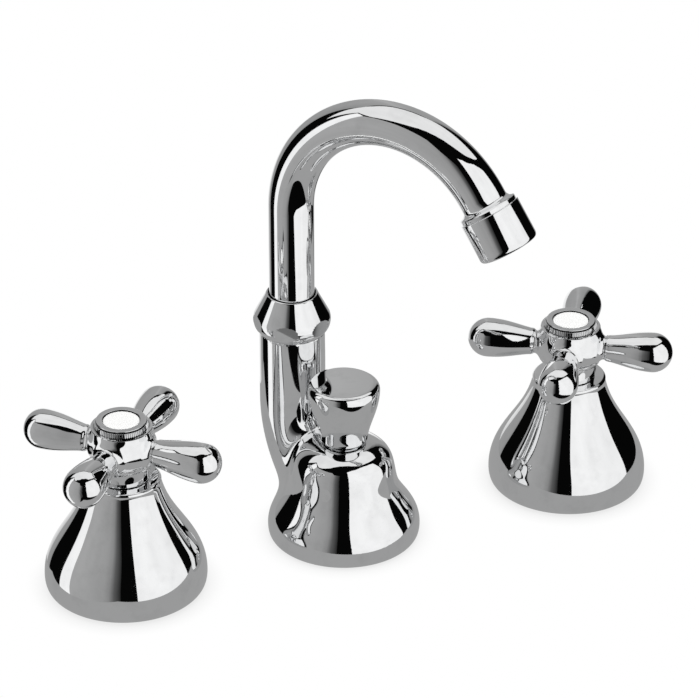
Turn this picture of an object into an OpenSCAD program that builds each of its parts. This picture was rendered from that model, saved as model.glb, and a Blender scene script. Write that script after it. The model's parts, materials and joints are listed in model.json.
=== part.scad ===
// Three-hole basin mixer: two cross-handle valves and a swivel spout with a pop-up lift knob.
// Origin: centre of the spout bell on the deck surface. X along the three holes, Y to the back, Z up.

/* [Layout] */
// Distance from the spout axis to the left valve
left_hole_x = 93.3; // [88:0.1:130]
// Distance from the spout axis to the right valve
right_hole_x = 99.7; // [88:0.1:130]
// Thickness of the basin deck that the three shanks are clamped to
deck_t = 20; // [10:1:26]
// Depth of the link pipes below the deck surface
link_depth = 60; // [54:1:70]
// Turn of the left cross handle at rest, in degrees
left_rest = -47; // [-90:1:90]
// Turn of the right cross handle at rest, in degrees
right_rest = -35.5; // [-90:0.5:90]

/* [Valve] */
// Radius of the valve bell at its widest
bell_r = 31.8; // [29:0.1:38]
// Height of the valve bell above the deck
bell_h = 48.5; // [44:0.1:60]
// Radius of the threaded valve shank
shank_r = 13.2; // [12.5:0.1:16]
// Radius of the ceramic discs
disc_r = 8; // [6.6:0.05:9.6]
// Radius of the valve spindle
spindle_r = 4.5; // [4:0.1:5]
// Radius of the inlet thread, G 1/2
inlet_r = 10.48; // [8.33:0.01:10.48]

/* [Handle] */
// Distance from the spindle axis to the centre of a lever's bulb
lever_reach = 33.4; // [30:0.1:42]
// Radius of a lever's bulb
bulb_r = 8; // [6.5:0.1:9]
// Radius of a lever at its thinnest
lever_neck_r = 4.4; // [3.6:0.1:5.2]
// Radius of the hub at its widest
hub_r = 12.2; // [11.5:0.1:13.5]
// Height of the lever axes above the bell
lever_rise = 13.6; // [13:0.1:16]
// Radius of the white index disc
index_r = 7.15; // [5:0.05:8]
// Number of teeth in the index ring's knurl
knurl_teeth = 60; // [36:1:72]

/* [Spout body] */
// Radius of the spout bell at its base
base_r = 30.3; // [28:0.1:36]
// Height of the spout bell, the seat of the lift knob
base_h = 41.7; // [38:0.1:50]
// Distance from the lift rod to the riser
riser_back = 30.6; // [30.4:0.1:36]
// Turn of the spout body about the lift rod, in degrees
body_turn = 17.5; // [-25:0.5:25]
// Radius of the riser
riser_r = 13.05; // [12.6:0.05:13.4]
// Height of the riser's shoulder under the collar nut
riser_h = 79.5; // [76:0.5:95]
// Radius of the collar nut at its widest
collar_r = 15.4; // [15.2:0.1:15.8]

/* [Swivel spout] */
// Radius of the spout tube
tube_r = 9; // [7.5:0.1:10.8]
// Wall of the spout tube
tube_wall = 1.4; // [1:0.1:1.8]
// Radius of the arch, to the tube's centre line
arch_r = 46.5; // [36:0.5:70]
// Height at which the arch starts
arch_z = 134; // [115:1:170]
// Sweep of the arch, in degrees
arch_sweep = 146; // [120:1:165]
// Direction in which the spout points at rest, in degrees from X
spout_dir = -56; // [-110:1:-20]
// Radius of the aerator shell
aerator_r = 12; // [11.6:0.1:12.6]
// Length of the aerator shell
aerator_h = 16.5; // [14:0.5:20]

/* [Lift knob] */
// Radius of the knob's rim
knob_r = 14.3; // [12:0.1:14.4]
// Height of the knob
knob_h = 26; // [21:0.1:30]
// Radius of the lift rod
rod_r = 2.5; // [2:0.1:3]
// Length of the lift rod below the deck
rod_below = 112; // [106:1:200]

/* [Hidden] */
$fn = 72;
eps = 0.1;          // how far a cutter passes a face
gap = 0.3;          // clearance between pieces that move past each other
run_fit = 0.05;     // radial clearance of a running fit
wall = 1.6;         // wall of the bells

// Valve heights, upwards from the deck
seat_z = 16;                          // floor of the cartridge bore
seal_h = 1.5;
disc_z = seat_z + seal_h;
disc_h = 2.5;
turning_z = disc_z + disc_h + run_fit;
turning_h = 3;
fork_z = turning_z + turning_h;       // underside of the spindle's flange
fork_h = 3;
key_l = disc_r - 1;                   // half length of the slot for the spindle's key
key_w = 1.5;                          // half width of the key
groove_z = fork_z + fork_h + 6;       // middle of the spindle's ring groove
groove_r = 0.9;                       // round grooves of the ring seals
ring_cord = 0.45;                     // radius of the ring seals' cord
barrel_z = bell_h - 8.5;              // top of the valve barrel
sleeve_r = disc_r + 1.6;
barrel_r = sleeve_r + 2;
shank_wide = max(shank_r, barrel_r + 0.6); // the shank takes the barrel's bore
hex_af = 2 * barrel_r - 2.2;          // width of the housing's hexagon
neck_r = spindle_r + 3.5;             // threaded neck that the bell screws onto
flange_r = shank_wide + 8.8;
lock_nut_af = 2 * shank_wide + 11.6;
hub_z = bell_h + gap;                 // underside of the handle's skirt
skirt_r = neck_r + 2.4;               // handle's skirt over the housing's neck
lever_z = bell_h + lever_rise;
ring_z = bell_h + 22.4;               // seat of the index ring
recess_h = 5;                         // depth of the hub's recess under the index ring
recess_r = 9;
plug_gap = 1.4;                       // free height over the screw's seat for the index plug
spline_r = spindle_r - 0.7;
spline_z = bell_h + 7.5;
spindle_top = ring_z - recess_h - 2;
screw_r = 2;
screw_head_r = 3.8;

// Under-deck heights, downwards
washer_t = 2.5;
plate_t = 2;
nut_t = 8.5;
block_top = -(deck_t + washer_t + plate_t + nut_t + 13);
block_z = min(block_top, -(link_depth - 10));
block_bot = -(link_depth + 10);
inlet_len = 14;
block_r = shank_wide + 1.8;
pipe_r = 5;
port_r = 8.3;
port_reach = 24;
port_bore = 4;
way_x = 0.575 * disc_r;               // distance of the two water ways from the spindle axis
way_r = 0.325 * disc_r;               // radius of the ports in the discs
link_nut_af = 20;
link_nut_l = 11;
olive_l = 3;

// Spout body
catch_r = tube_r + 1.3;               // flange that keeps the tube in its socket
spigot_r = catch_r + 1.7;
riser_wide = max(riser_r, spigot_r + 1);  // the riser stays outside its spigot
collar_wide = max(collar_r, riser_wide + 2.3);
riser_out = max(riser_back, knob_r + collar_wide + 0.6); // the lifted knob clears the collar nut
spigot_z = riser_h + 10.5;            // top of the threaded spigot
socket_r = tube_r + run_fit;
socket_z = riser_h - 17.5;            // floor of the socket that holds the tube
catch_h = 2;
slide_h = 2;
catch_z = spigot_z - slide_h - catch_h;
lean_r = 45;                          // bend of the riser towards the bell
lean = 42;
lean_z = base_h + 7.3;
collar_h = 16.5;
tee_bore = 9.5;
guide_r = 4.5;
bush_r = 5.2;
bush_h = 7;
knob_z = base_h + gap;
water_r = 5.5;
rod_cord = 0.8;                       // radius of the rod seal's cord
rod_end_r = rod_r - 0.5;
rod_end_l = 30;                       // turned end of the rod, for the clamp of the waste's linkage
chamber_z = 16;

// Spout end, in the frame of the aerator (Z along the outflow)
arch_end = 5.5;                       // straight tube between the arch and the aerator
shell_r = max(aerator_r, tube_r + 3); // the shell goes round the tube's thread
swage = 0.15;                         // widening of the tube's straight end
thread_l = 6;

// Smooth curve through the points p, n pieces between each two
function cr(a, b, c, d, t) =
  0.5 * (2 * b + (c - a) * t + (2 * a - 5 * b + 4 * c - d) * t * t + (3 * b - a - 3 * c + d) * t * t * t);
function curve(p, n) = [
  for (i = [0 : len(p) - 2], k = [0 : n - 1])
    cr(p[max(i - 1, 0)], p[i], p[i + 1], p[min(i + 2, len(p) - 1)], k / n),
  p[len(p) - 1]
];
// Quarter arc about c from angle a to angle b
function arc(c, r, a, b, n) = [
  for (i = [0 : n]) c + r * [cos(a + (b - a) * i / n), sin(a + (b - a) * i / n)]
];

// Outline of the valve bell: rounded foot, full skirt, slim neck
bell_skirt = [
  [bell_r, 0.134 * bell_h], [bell_r - 0.5, 0.247 * bell_h], [bell_r - 1.6, 0.35 * bell_h],
  [bell_r - 4, 0.454 * bell_h], [bell_r - 7.2, 0.557 * bell_h], [bell_r - 10.5, 0.66 * bell_h],
  [bell_r - 13.2, 0.763 * bell_h], [bell_r - 15.4, 0.866 * bell_h], [bell_r - 17.4, bell_h - 1.6]
];
bell_outline = concat(arc([bell_r - 2.6, 3], 2.6, -90, 0, 6), curve(bell_skirt, 3));
bell_foot = bell_r - 2.6;

// Outline of the spout bell: flared foot, waist, round shoulder
base_flare = [
  [base_r, 0.132 * base_h], [base_r - 1.2, 0.228 * base_h], [base_r - 3.4, 0.324 * base_h],
  [base_r - 6, 0.408 * base_h], [base_r - 8.1, 0.492 * base_h], [base_r - 9.4, 0.588 * base_h],
  [base_r - 10.2, 0.684 * base_h], [base_r - 10.8, 0.767 * base_h], [base_r - 12.1, 0.849 * base_h],
  [base_r - 14.9, 0.925 * base_h], [base_r - 18.4, base_h - 0.9], [9.5, base_h]
];
base_outline = concat(arc([base_r - 2.2, 2.8], 2.2, -90, 0, 6), curve(base_flare, 3));

// Outline of the knob: slim waist under a thick round rim
knob_waist = [
  [knob_r - 4.4, 0.08 * knob_h], [knob_r - 4.1, 0.18 * knob_h], [knob_r - 3.5, 0.31 * knob_h],
  [knob_r - 2.9, 0.42 * knob_h], [knob_r - 2.3, 0.54 * knob_h], [knob_r - 1.6, 0.66 * knob_h],
  [knob_r - 0.5, 0.78 * knob_h]
];
knob_outline = concat(
  [[0, 0], [knob_r - 6.9, 0], [knob_r - 6.9, 0.8], [knob_r - 5.2, 0.8]],
  curve(knob_waist, 3),
  arc([knob_r - 3, knob_h - 3], 3, 15, 90, 8),
  [[0, knob_h]]
);

// Outline of the collar nut: cone over a round belly
collar_belly_r = 6.4;
collar_outline = concat(
  [[riser_wide + 0.25, 0]],
  arc([collar_wide - collar_belly_r, 5], collar_belly_r, -44, 26, 8),
  [[tube_r + 1.2, collar_h - 0.6], [tube_r + 0.5, collar_h]]
);

// Radius of a lever at distance x from the hub's axis
lever_foot = 15.5;
function lever_at(x) =
  let (t = min(max((x - lever_foot) / (lever_reach - lever_foot), 0), 1))
  lever_neck_r + 0.8 + (bulb_r - lever_neck_r - 0.8) * t * (1 + t * (1 - t));
lever_root = 7;
lever_outline = concat(
  [[0, lever_root], [lever_neck_r + 0.7, lever_root], [lever_neck_r, 13.6], [lever_neck_r, lever_foot - 0.8]],
  [for (x = [lever_foot : 2 : lever_reach - 1.5]) [lever_at(x), x]],
  arc([0, lever_reach], bulb_r, 0, 90, 10)
);

// Outline of the hub: skirt, ring, round body, seat of the index ring
hub_side = [
  [skirt_r + 0.3, 8.1], [hub_r - 0.6, 10.2], [hub_r, lever_rise], [hub_r - 0.1, 17.6], [hub_r - 0.5, 20.6]
];
hub_outline = concat(
  [[0, 0], [skirt_r, 0], [skirt_r, 6.2], [skirt_r + 0.8, 6.7], [skirt_r + 0.8, 7.7], [skirt_r + 0.3, 8.1]],
  curve(hub_side, 4),
  [[hub_r - 0.6, ring_z - hub_z], [0, ring_z - hub_z]]
);

module tube(r, bore, h) {
  difference() {
    cylinder(r = r, h = h);
    translate([0, 0, -eps]) cylinder(r = bore, h = h + 2 * eps);
  }
}

module o_ring(r, cord) {
  rotate_extrude() translate([r, 0]) circle(r = cord, $fn = 32);
}

module hex_nut(af, bore, h) {
  difference() {
    cylinder(d = af / cos(30), h = h, $fn = 6);
    translate([0, 0, -eps]) cylinder(r = bore, h = h + 2 * eps);
  }
}

// Places its child at a valve: side is -1 for the left one, 1 for the right one
module at_valve(side) {
  translate([side < 0 ? -left_hole_x : right_hole_x, 0, 0]) children();
}

// Places its child in the handle's frame, turned to its rest position
module at_handle(side) {
  at_valve(side) rotate([0, 0, side < 0 ? left_rest : right_rest]) children();
}

// Places its child on the riser's axis
module at_riser() {
  rotate([0, 0, body_turn]) translate([0, riser_out, 0]) children();
}

// Places its child at the end of the arch, Z along the outflow
module at_outlet(along) {
  at_riser() rotate([0, 0, spout_dir - body_turn])
    translate([arch_r, 0, arch_z]) rotate([0, arch_sweep - 180, 0]) translate([arch_r, 0, 0])
      rotate([180, 0, 0]) translate([0, 0, along]) children();
}

// ---------------------------------------------------------------- valve pieces

module bell(side) color("silver") at_valve(side) difference() {
  rotate_extrude() polygon(concat([[0, 0.4], [bell_foot, 0.4]], bell_outline,
    [[bell_r - 18.6, bell_h], [0, bell_h]]));
  translate([0, 0, -eps]) rotate_extrude() polygon(concat([[0, 0], [bell_foot - wall, 0]],
    [for (q = curve(bell_skirt, 2)) if (q[1] < bell_h - 5) [q[0] - wall, q[1]]],
    [[neck_r + 2.5, bell_h - 4], [0, bell_h - 4]]));
  translate([0, 0, bell_h - 6]) cylinder(r = neck_r, h = 8);
}

module deck_seal(side) color("dimgray") at_valve(side) tube(flange_r, shank_wide, 2);

module valve_body(side) color("goldenrod") at_valve(side) difference() {
  union() {
    translate([0, 0, block_z]) cylinder(r = shank_wide, h = 5 - block_z);
    translate([0, 0, 2]) cylinder(r = flange_r, h = 3);
    translate([0, 0, 4]) cylinder(r = barrel_r, h = barrel_z - 4);
    translate([0, 0, block_bot]) cylinder(r = block_r, h = block_z - block_bot);
    translate([0, 0, block_bot - inlet_len]) cylinder(r = inlet_r, h = inlet_len + 1);
    translate([0, 0, -link_depth]) rotate([0, -90 * side, 0]) cylinder(r = port_r, h = port_reach);
  }
  translate([0, 0, seat_z]) cylinder(r = sleeve_r, h = barrel_z);
  // inlet and outlet channels, side by side
  translate([side * way_x, 0, block_bot + 4]) cylinder(r = way_r + 0.6, h = seat_z - block_bot);
  translate([-side * way_x, 0, -link_depth]) cylinder(r = way_r + 0.6, h = seat_z + link_depth + 1);
  translate([0, 0, block_bot - inlet_len - eps]) cylinder(r = inlet_r - 2.4, h = inlet_len + 5);
  translate([-side * way_x, 0, -link_depth]) rotate([0, -90 * side, 0])
    cylinder(r = port_bore, h = port_reach);
  translate([-side * (port_reach - 5), 0, -link_depth]) rotate([0, -90 * side, 0])
    cylinder(r = pipe_r, h = port_reach);
}

module cartridge_seal(side) color("dimgray") at_valve(side) translate([0, 0, seat_z]) difference() {
  cylinder(r = sleeve_r, h = seal_h);
  for (s = [-1, 1]) translate([s * way_x, 0, -eps]) cylinder(r = way_r + 0.2, h = seal_h + 2 * eps);
}

module fixed_disc(side) color("white") at_valve(side) translate([0, 0, disc_z]) difference() {
  cylinder(r = disc_r, h = disc_h);
  for (s = [-1, 1]) translate([s * way_x, 0, -eps]) cylinder(r = way_r, h = disc_h + 2 * eps);
}

module turning_disc(side) color("white") at_valve(side) translate([0, 0, turning_z]) difference() {
  cylinder(r = disc_r - run_fit, h = turning_h);
  // blind slot that joins the two ports when it lies across them
  translate([-way_r, -key_l, -eps]) cube([2 * way_r, 2 * key_l, 1.6 + eps]);
  // slot for the spindle's key
  translate([-key_l, -key_w - 0.1, turning_h - 1.2]) cube([2 * key_l, 2 * key_w + 0.2, 2]);
}

module cartridge_housing(side) color("goldenrod") at_valve(side) difference() {
  union() {
    translate([0, 0, disc_z]) cylinder(r = sleeve_r, h = barrel_z - disc_z + 1);
    translate([0, 0, barrel_z]) cylinder(d = hex_af / cos(30), h = 3, $fn = 6);
    translate([0, 0, barrel_z]) cylinder(r = neck_r, h = bell_h - barrel_z);
  }
  translate([0, 0, disc_z - eps]) cylinder(r = disc_r, h = fork_z + fork_h + gap - disc_z + eps);
  translate([0, 0, disc_z]) cylinder(r = spindle_r + run_fit, h = bell_h);
}

module spindle(side) color("goldenrod") at_valve(side) {
  difference() {
    union() {
      translate([0, 0, fork_z]) cylinder(r = disc_r - 0.4, h = fork_h);
      translate([0, 0, fork_z]) cylinder(r = spindle_r, h = spline_z - fork_z);
      translate([0, 0, fork_z]) cylinder(r = spline_r, h = spindle_top - fork_z);
      translate([0.4 - key_l, -key_w, fork_z - 1.1]) cube([2 * key_l - 0.8, 2 * key_w, 2]);
    }
    translate([0, 0, groove_z]) o_ring(spindle_r, groove_r);
    translate([0, 0, spindle_top - 10]) cylinder(r = screw_r, h = 20);
  }
}

module spindle_o_ring(side) color("black") at_valve(side)
  translate([0, 0, groove_z]) o_ring(spindle_r + run_fit - ring_cord - 0.02, ring_cord);

module handle(side) color("silver") at_handle(side) translate([0, 0, hub_z]) difference() {
  union() {
    rotate_extrude() polygon(hub_outline);
    for (a = [0 : 90 : 270]) translate([0, 0, lever_z - hub_z]) rotate([0, 90, a])
      rotate_extrude() polygon(lever_outline);
  }
  translate([0, 0, -eps]) cylinder(r = spindle_r, h = spline_z - hub_z + eps);
  cylinder(r = spline_r, h = spindle_top - hub_z);
  cylinder(r = screw_r, h = ring_z);
  translate([0, 0, ring_z - hub_z - recess_h]) cylinder(r = recess_r, h = recess_h + eps);
}

module handle_screw(side) color("silver") at_valve(side) difference() {
  union() {
    translate([0, 0, spindle_top - 9]) cylinder(r = screw_r, h = 12);
    translate([0, 0, ring_z - recess_h]) cylinder(r = screw_head_r, h = 2.4);
  }
  translate([0, 0, ring_z - recess_h + 1]) cylinder(d = 4.5, h = 4, $fn = 6);
}

module index_ring(side) color("silver") at_handle(side) translate([0, 0, ring_z]) difference() {
  union() {
    translate([0, 0, plug_gap - recess_h]) cylinder(r = recess_r, h = recess_h);
    cylinder(r = hub_r - 0.3, h = 0.7);
    linear_extrude(2.4) polygon([for (i = [0 : 2 * knurl_teeth - 1])
      (index_r + (i % 2 == 0 ? 3.1 : 2.8)) * [cos(180 * i / knurl_teeth), sin(180 * i / knurl_teeth)]]);
    translate([0, 0, 2.3]) cylinder(r1 = index_r + 2.8, r2 = index_r + 2.4, h = 0.5);
  }
  translate([0, 0, plug_gap - recess_h - eps]) cylinder(r = 6.4, h = recess_h - 0.8);
  translate([0, 0, 1.2]) cylinder(r = index_r, h = 4);
  translate([0, 0, 2.1]) cylinder(r1 = index_r, r2 = index_r + 0.9, h = 0.75);
}

module index_disc(side) color("white") at_valve(side)
  translate([0, 0, ring_z + 1.2]) cylinder(r = index_r, h = 1.1);

module deck_washer(side) color("dimgray") at_valve(side)
  translate([0, 0, -deck_t - washer_t]) tube(flange_r, shank_wide, washer_t);

module thrust_washer(side) color("lightgray") at_valve(side)
  translate([0, 0, -deck_t - washer_t - plate_t]) tube(flange_r, shank_wide, plate_t);

module lock_nut(side) color("goldenrod") at_valve(side)
  translate([0, 0, -deck_t - washer_t - plate_t - nut_t]) hex_nut(lock_nut_af, shank_wide, nut_t);

// ---------------------------------------------------------------- centre body

module riser_solid() {
  // straight column, bend towards the bell and a stub that ends inside it
  translate([0, 0, lean_z]) cylinder(r = riser_wide, h = riser_h - lean_z);
  translate([0, 0, lean_z]) cylinder(r = spigot_r, h = spigot_z - lean_z);
  translate([0, -lean_r, lean_z]) rotate([0, 90, 0]) rotate([0, 0, 90])
    rotate_extrude(angle = -lean, $fn = 96) translate([lean_r, 0]) circle(r = riser_wide);
  translate([0, -lean_r * (1 - cos(lean)), lean_z - lean_r * sin(lean)])
    rotate([180 - lean, 0, 0]) cylinder(r = riser_wide, h = 11);
}

module spout_body() color("silver") difference() {
  union() {
    rotate_extrude() polygon(concat([[0, 0.4], [base_r - 2.2, 0.4]], base_outline, [[0, base_h]]));
    at_riser() riser_solid();
  }
  // recess for the base seal and hollow foot around the shank's boss
  translate([0, 0, -eps]) cylinder(r = base_r - 5, h = 2.4 + eps);
  difference() {
    cylinder(r = base_r - 9, h = 11);
    cylinder(r = shank_wide + 3, h = 12);
  }
  // thread of the shank, water chamber, lift rod's passage
  translate([0, 0, -eps]) cylinder(r = shank_wide, h = 12);
  cylinder(r = tee_bore, h = chamber_z + 6);
  cylinder(r = guide_r, h = base_h - bush_h);
  translate([0, 0, base_h - bush_h]) cylinder(r = bush_r, h = bush_h + eps);
  // water way from the chamber to the riser
  rotate([0, 0, body_turn]) translate([0, 6, chamber_z])
    rotate([-atan2(riser_out - 6, lean_z - 3 - chamber_z), 0, 0])
      cylinder(r = water_r - 1, h = norm([riser_out - 6, lean_z - 3 - chamber_z]));
  at_riser() {
    translate([0, 0, lean_z - 4]) cylinder(r = water_r, h = 30);
    translate([0, 0, socket_z]) cylinder(r = socket_r, h = spigot_z - socket_z + eps);
    translate([0, 0, catch_z - run_fit]) cylinder(r = catch_r + run_fit, h = 10);
  }
}

module base_seal() color("dimgray") tube(base_r - 5, shank_wide, 2.4);

module tee_shank() color("goldenrod") difference() {
  union() {
    translate([0, 0, block_z]) cylinder(r = shank_wide, h = 11 - block_z);
    translate([0, 0, block_bot]) cylinder(r = block_r, h = block_z - block_bot);
    for (s = [-1, 1]) translate([0, 0, -link_depth]) rotate([0, 90 * s, 0])
      cylinder(r = port_r, h = port_reach);
  }
  translate([0, 0, block_bot + 5]) cylinder(r = tee_bore, h = 100);
  translate([0, 0, block_bot - eps]) cylinder(r = guide_r, h = 20);
  for (s = [-1, 1]) translate([0, 0, -link_depth]) rotate([0, 90 * s, 0]) {
    cylinder(r = port_bore, h = port_reach + 1);
    translate([0, 0, port_reach - 5]) cylinder(r = pipe_r, h = 10);
  }
}

module shank_rubber_washer() color("dimgray")
  translate([0, 0, -deck_t - washer_t]) tube(base_r - 5, shank_wide, washer_t);

module shank_metal_washer() color("lightgray")
  translate([0, 0, -deck_t - washer_t - plate_t]) tube(base_r - 5, shank_wide, plate_t);

module shank_lock_nut() color("goldenrod")
  translate([0, 0, -deck_t - washer_t - plate_t - nut_t]) hex_nut(lock_nut_af, shank_wide, nut_t);

module rod_guide_tube() color("goldenrod")
  translate([0, 0, block_bot]) tube(guide_r, rod_r + 0.6, base_h - bush_h - block_bot);

module rod_bush() color("white") translate([0, 0, base_h - bush_h]) difference() {
  cylinder(r = bush_r, h = bush_h);
  translate([0, 0, -eps]) cylinder(r = rod_r + run_fit, h = bush_h + 2 * eps);
  translate([0, 0, bush_h / 2]) o_ring(rod_r + rod_cord, rod_cord + run_fit);
}

module rod_o_ring() color("black")
  translate([0, 0, base_h - bush_h / 2]) o_ring(rod_r + rod_cord + 0.02, rod_cord);

module lift_knob() color("silver") translate([0, 0, knob_z]) difference() {
  rotate_extrude() polygon(knob_outline);
  translate([0, 0, -eps]) cylinder(r = rod_r, h = knob_h - 8 + eps);
}

module lift_rod() color("lightgray") {
  rod_top = knob_z + knob_h - 8;
  translate([0, 0, rod_end_l - rod_below]) cylinder(r = rod_r, h = rod_below - rod_end_l + rod_top);
  translate([0, 0, -rod_below]) cylinder(r = rod_end_r, h = rod_end_l + 1);
}

module collar_nut() color("silver") at_riser() translate([0, 0, riser_h]) difference() {
  rotate_extrude() polygon(concat([[0, 0]], collar_outline, [[0, collar_h]]));
  translate([0, 0, -eps]) cylinder(r = spigot_r, h = spigot_z - riser_h + eps + run_fit);
  cylinder(r = tube_r + 0.3, h = collar_h + eps);
  // six wrench flats on the belly
  for (a = [0 : 60 : 300]) rotate([0, 0, a - 3.3 - body_turn])
    translate([collar_wide - 0.8, -10, -eps]) cube([5, 20, 11]);
}

// ---------------------------------------------------------------- swivel spout

// Round solid along the spout's line: column from height start, arch, straight end of length tail.
// The end is a little wider, as it is swaged for the thread, and takes in the end of the arch.
module spout_line(r, start, tail) {
  at_riser() rotate([0, 0, spout_dir - body_turn]) {
    translate([0, 0, start]) cylinder(r = r, h = arch_z - start);
    translate([arch_r, 0, arch_z]) rotate([90, 0, 0]) rotate([0, 0, 180])
      rotate_extrude(angle = -arch_sweep, $fn = 96) translate([arch_r, 0]) circle(r = r);
  }
  at_outlet(-1) cylinder(r = r + swage, h = 1 + tail);
}

module swivel_spout() color("silver") difference() {
  union() {
    spout_line(tube_r, socket_z + 0.5, arch_end + thread_l);
    at_riser() translate([0, 0, catch_z]) cylinder(r = catch_r, h = catch_h - run_fit);
    at_outlet(arch_end - 3) cylinder(r1 = tube_r, r2 = shell_r - 1.2, h = 3);
    at_outlet(arch_end) cylinder(r = shell_r - 1.6, h = thread_l);
  }
  spout_line(tube_r - tube_wall, socket_z, arch_end + thread_l + 1);
  // grooves of the two sealing rings
  for (z = [6, 12]) at_riser() translate([0, 0, socket_z + z]) o_ring(tube_r, groove_r);
}

module spout_slide_ring() color("white") at_riser()
  translate([0, 0, catch_z + catch_h]) tube(catch_r, tube_r, slide_h - run_fit);

module spout_o_rings() color("black") for (z = [6, 12])
  at_riser() translate([0, 0, socket_z + z]) o_ring(tube_r + run_fit - ring_cord - 0.02, ring_cord);

module aerator_shell() color("silver") at_outlet(arch_end) difference() {
  union() {
    cylinder(r1 = shell_r - 0.4, r2 = shell_r, h = 0.6);
    translate([0, 0, 0.6]) cylinder(r = shell_r, h = aerator_h - 2.6);
    translate([0, 0, aerator_h - 2]) cylinder(r1 = shell_r, r2 = shell_r - 1, h = 2);
  }
  translate([0, 0, -eps]) cylinder(r = shell_r - 1.6, h = aerator_h - 2 + eps);
  cylinder(r = shell_r - 2.8, h = aerator_h + eps);
}

module aerator_seal() color("dimgray") at_outlet(arch_end + thread_l)
  tube(shell_r - 1.6, tube_r - tube_wall + swage, 1.5);

module aerator_insert() color("white") at_outlet(arch_end + thread_l + 1.5) difference() {
  cylinder(r = shell_r - 1.6, h = aerator_h - thread_l - 4.5);
  for (q = [[0, 0, 1], [4.2, 0, 6], [7.4, 0, 12]]) for (i = [0 : q[2] - 1])
    rotate([0, 0, 360 * i / q[2]]) translate([q[0], 0, -eps]) cylinder(r = 1.3, h = 20, $fn = 24);
}

module aerator_screen() color("lightgray") at_outlet(arch_end + aerator_h - 3) difference() {
  cylinder(r = shell_r - 1.6, h = 0.8);
  for (x = [-7.5 : 2.5 : 7.5], y = [-7.5 : 2.5 : 7.5]) if (norm([x, y]) < 8.4)
    translate([x - 0.9, y - 0.9, -eps]) cube([1.8, 1.8, 2]);
}

// ---------------------------------------------------------------- link pipes

module link_pipe(side) color("peru") {
  hole_x = side < 0 ? left_hole_x : right_hole_x;
  translate([side * (port_reach - 5), 0, -link_depth]) rotate([0, 90 * side, 0])
    tube(pipe_r, pipe_r - 1, hole_x - 2 * (port_reach - 5));
}

// Positions of the four joints of the link pipes, with the way their nuts point
function link_joints() = [
  [-port_reach, -1], [port_reach, 1], [port_reach - left_hole_x, 1], [right_hole_x - port_reach, -1]
];

module link_nuts() color("goldenrod") for (j = link_joints())
  translate([j[0], 0, -link_depth]) rotate([0, 90 * j[1], 0]) difference() {
    translate([0, 0, -6]) hex_nut(link_nut_af, pipe_r, link_nut_l);
    translate([0, 0, -6 - eps]) cylinder(r = port_r, h = 6 + eps + olive_l);
  }

module link_olives() color("peru") for (j = link_joints())
  translate([j[0], 0, -link_depth]) rotate([0, 90 * j[1], 0]) tube(port_r - 1.8, pipe_r, olive_l);

bell(-1);  // left_bell
deck_seal(-1);  // left_deck_seal
valve_body(-1);  // left_valve_body
cartridge_housing(-1);  // left_cartridge_housing
spindle(-1);  // left_spindle
fixed_disc(-1);  // left_fixed_disc
turning_disc(-1);  // left_turning_disc
cartridge_seal(-1);  // left_cartridge_seal
spindle_o_ring(-1);  // left_spindle_o_ring
handle(-1);  // left_handle
handle_screw(-1);  // left_handle_screw
index_ring(-1);  // left_index_ring
index_disc(-1);  // left_index_disc
deck_washer(-1);  // left_deck_washer
thrust_washer(-1);  // left_thrust_washer
lock_nut(-1);  // left_lock_nut
bell(1);  // right_bell
deck_seal(1);  // right_deck_seal
valve_body(1);  // right_valve_body
cartridge_housing(1);  // right_cartridge_housing
spindle(1);  // right_spindle
fixed_disc(1);  // right_fixed_disc
turning_disc(1);  // right_turning_disc
cartridge_seal(1);  // right_cartridge_seal
spindle_o_ring(1);  // right_spindle_o_ring
handle(1);  // right_handle
handle_screw(1);  // right_handle_screw
index_ring(1);  // right_index_ring
index_disc(1);  // right_index_disc
deck_washer(1);  // right_deck_washer
thrust_washer(1);  // right_thrust_washer
lock_nut(1);  // right_lock_nut
spout_body();
base_seal();
tee_shank();
shank_rubber_washer();
shank_metal_washer();
shank_lock_nut();
rod_guide_tube();
rod_bush();
rod_o_ring();
lift_knob();
lift_rod();
collar_nut();
swivel_spout();
spout_slide_ring();
spout_o_rings();
aerator_shell();
aerator_insert();
aerator_seal();
aerator_screen();
link_pipe(-1);  // left_link_pipe
link_pipe(1);  // right_link_pipe
link_nuts();
link_olives();
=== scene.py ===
"""Basin mixer with three holes: the looks of its chrome, enamel and fittings, and its studio."""
import json
import math

import bpy
import numpy as np
import openvdb
from mathutils import Matrix, Vector


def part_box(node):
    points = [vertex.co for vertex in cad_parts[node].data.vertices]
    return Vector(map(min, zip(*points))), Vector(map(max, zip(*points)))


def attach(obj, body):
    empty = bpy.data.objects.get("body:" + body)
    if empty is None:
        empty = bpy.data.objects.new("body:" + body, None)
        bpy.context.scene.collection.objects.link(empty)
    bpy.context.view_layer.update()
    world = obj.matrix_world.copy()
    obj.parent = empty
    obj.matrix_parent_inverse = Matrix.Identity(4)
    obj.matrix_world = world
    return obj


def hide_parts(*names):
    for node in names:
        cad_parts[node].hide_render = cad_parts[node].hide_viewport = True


bl_info = {
    "name": "Basin mixer",
    "version": (1, 0, 0),
    "blender": (4, 5, 0),
    "location": "3D View > Sidebar > Mixer",
    "description": "Models the visible pieces of a three-hole basin mixer on its CAD frame",
    "category": "Object",
}

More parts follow.
